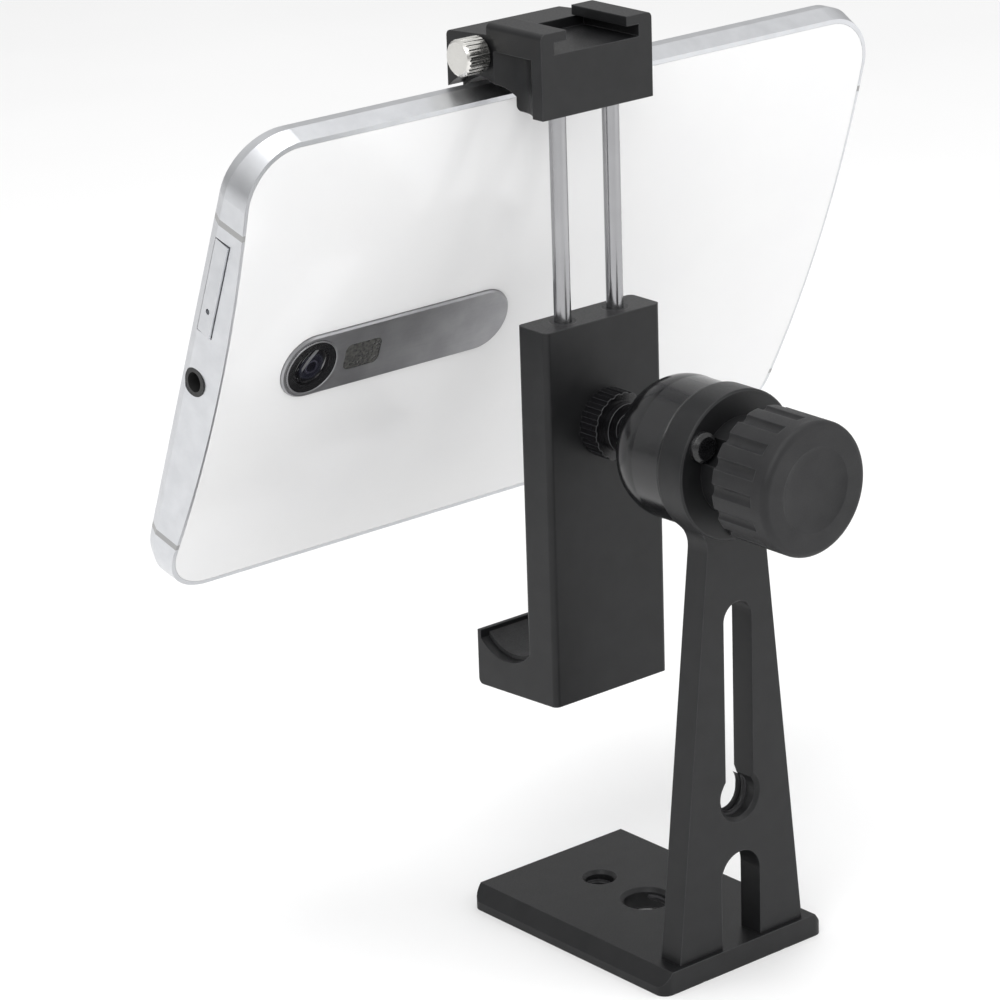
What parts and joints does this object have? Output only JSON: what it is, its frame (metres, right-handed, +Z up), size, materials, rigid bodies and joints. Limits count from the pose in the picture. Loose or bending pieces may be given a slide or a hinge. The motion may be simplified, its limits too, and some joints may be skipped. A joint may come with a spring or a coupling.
{
  "type": "smartphone teleprompter stand",
  "caption": "Desk stand for a smartphone prompter: slotted bracket on a dovetail foot, locking ball head, sprung two-rod phone clamp with cold shoe, and a slab phone.",
  "frame": {"origin": "on the foot's underside, on its centre line, straight below the upright's knob-side face", "axes": "+Z up; +Y from the phone's screen side towards the locking knob; +X along the phone towards its camera end"},
  "size_m": [0.1424, 0.1035, 0.1616],
  "materials": {
    "black_anodised": "satin anodised",
    "gloss_black": "glossy anodised",
    "screw_black": "black oxide",
    "knob_black": "soft matte",
    "steel": "ground and polished",
    "nickel": "bright nickel",
    "spring_steel": "drawn wire",
    "bush_black": "sliding-bearing plastic",
    "rubber_black": "matte",
    "brake_plastic": "acetal",
    "phone_silver": "bead blasted",
    "phone_white": "gloss white",
    "phone_screen": "black cover glass",
    "panel_black": "display panel",
    "cell_grey": "laminate pouch",
    "board_green": "solder mask",
    "plate_grey": "satin grey",
    "lens_black": "gloss",
    "lens_glass": "coated",
    "flash_clear": "textured",
    "port_dark": "liquid crystal polymer"
  },
  "bodies": {
    "base": {"foot_plate": "black_anodised", "upright": "black_anodised", "foot_screws": "screw_black", "ball_socket": "gloss_black", "head_screws": "screw_black", "thrust_collar": "black_anodised"},
    "knob": {"knob_grip": "knob_black", "knob_spindle": "steel"},
    "brake": {"brake_pad": "brake_plastic"},
    "ball": {"ball": "steel"},
    "stud": {"ball_stud": "gloss_black"},
    "clamp": {"clamp_body": "black_anodised", "lock_ring": "gloss_black", "rod_bushes": "bush_black", "pocket_plugs": "brake_plastic", "lower_pad": "rubber_black", "back_pad": "rubber_black", "return_spring_left": "spring_steel", "return_spring_right": "spring_steel"},
    "jaw": {"upper_jaw": "black_anodised", "guide_rods": "steel", "rod_stops": "steel", "upper_pad": "rubber_black"},
    "thumb": {"thumbscrew": "nickel"},
    "phone": {"phone_frame": "phone_silver", "phone_back": "phone_white", "phone_glass": "phone_screen", "phone_display": "panel_black", "phone_battery": "cell_grey", "phone_board": "board_green", "camera_plate": "plate_grey", "lens_barrel": "lens_black", "lens_glass": "lens_glass", "flash_window": "flash_clear", "headphone_jack": "port_dark", "charge_port": "port_dark"},
    "tray": {"sim_tray": "phone_silver"},
    "power": {"power_key": "phone_silver"},
    "volume": {"volume_key": "phone_silver"}
  },
  "joints": [
    {"name": "knob_turn", "type": "hinge", "parent": "base", "child": "knob", "pos_m": [0, 0.0128, 0.0918], "axis": [0, 1, 0], "range_deg": [0, 270]},
    {"name": "brake_slide", "type": "slide", "parent": "base", "child": "brake", "axis": [0, 1, 0], "range_m": [0, 0.0008]},
    {"name": "ball_pan", "type": "hinge", "parent": "base", "child": "ball", "pos_m": [0, -0.0145, 0.0918], "axis": [0, 0, 1], "range_deg": [-18, 18]},
    {"name": "ball_tilt", "type": "hinge", "parent": "ball", "child": "stud", "pos_m": [0, -0.0145, 0.0918], "axis": [1, 0, 0], "range_deg": [-18, 18]},
    {"name": "clamp_roll", "type": "hinge", "parent": "stud", "child": "clamp", "pos_m": [0, -0.0145, 0.0918], "axis": [0, 1, 0], "range_deg": [0, 90]},
    {"name": "jaw_slide", "type": "slide", "parent": "clamp", "child": "jaw", "axis": [0, 0, 1], "range_m": [-0.0085, 0.012], "stiffness_N_per_m": 40, "springref_m": -0.02, "deforming": ["return_spring_left", "return_spring_right"]},
    {"name": "thumb_turn", "type": "hinge", "parent": "jaw", "child": "thumb", "pos_m": [0.0154, -0.048, 0.1562], "axis": [1, 0, 0], "continuous": true},
    {"name": "phone_swing", "type": "hinge", "parent": "jaw", "child": "phone", "pos_m": [0, -0.04891, 0.14751], "axis": [1, 0, 0], "range_deg": [0, 21.7]},
    {"name": "tray_slide", "type": "slide", "parent": "phone", "child": "tray", "axis": [1, 0, 0], "range_m": [0, 0.012]},
    {"name": "power_press", "type": "slide", "parent": "phone", "child": "power", "axis": [0, 0.3698, 0.9291], "range_m": [0, 0.0005], "stiffness_N_per_m": 300},
    {"name": "volume_press", "type": "slide", "parent": "phone", "child": "volume", "axis": [0, 0.3698, 0.9291], "range_m": [0, 0.0005], "stiffness_N_per_m": 300}
  ],
  "couplings": [
    {"joint": "brake_slide", "follows": "knob_turn", "m_per_rad": 0.00015915}
  ]
}
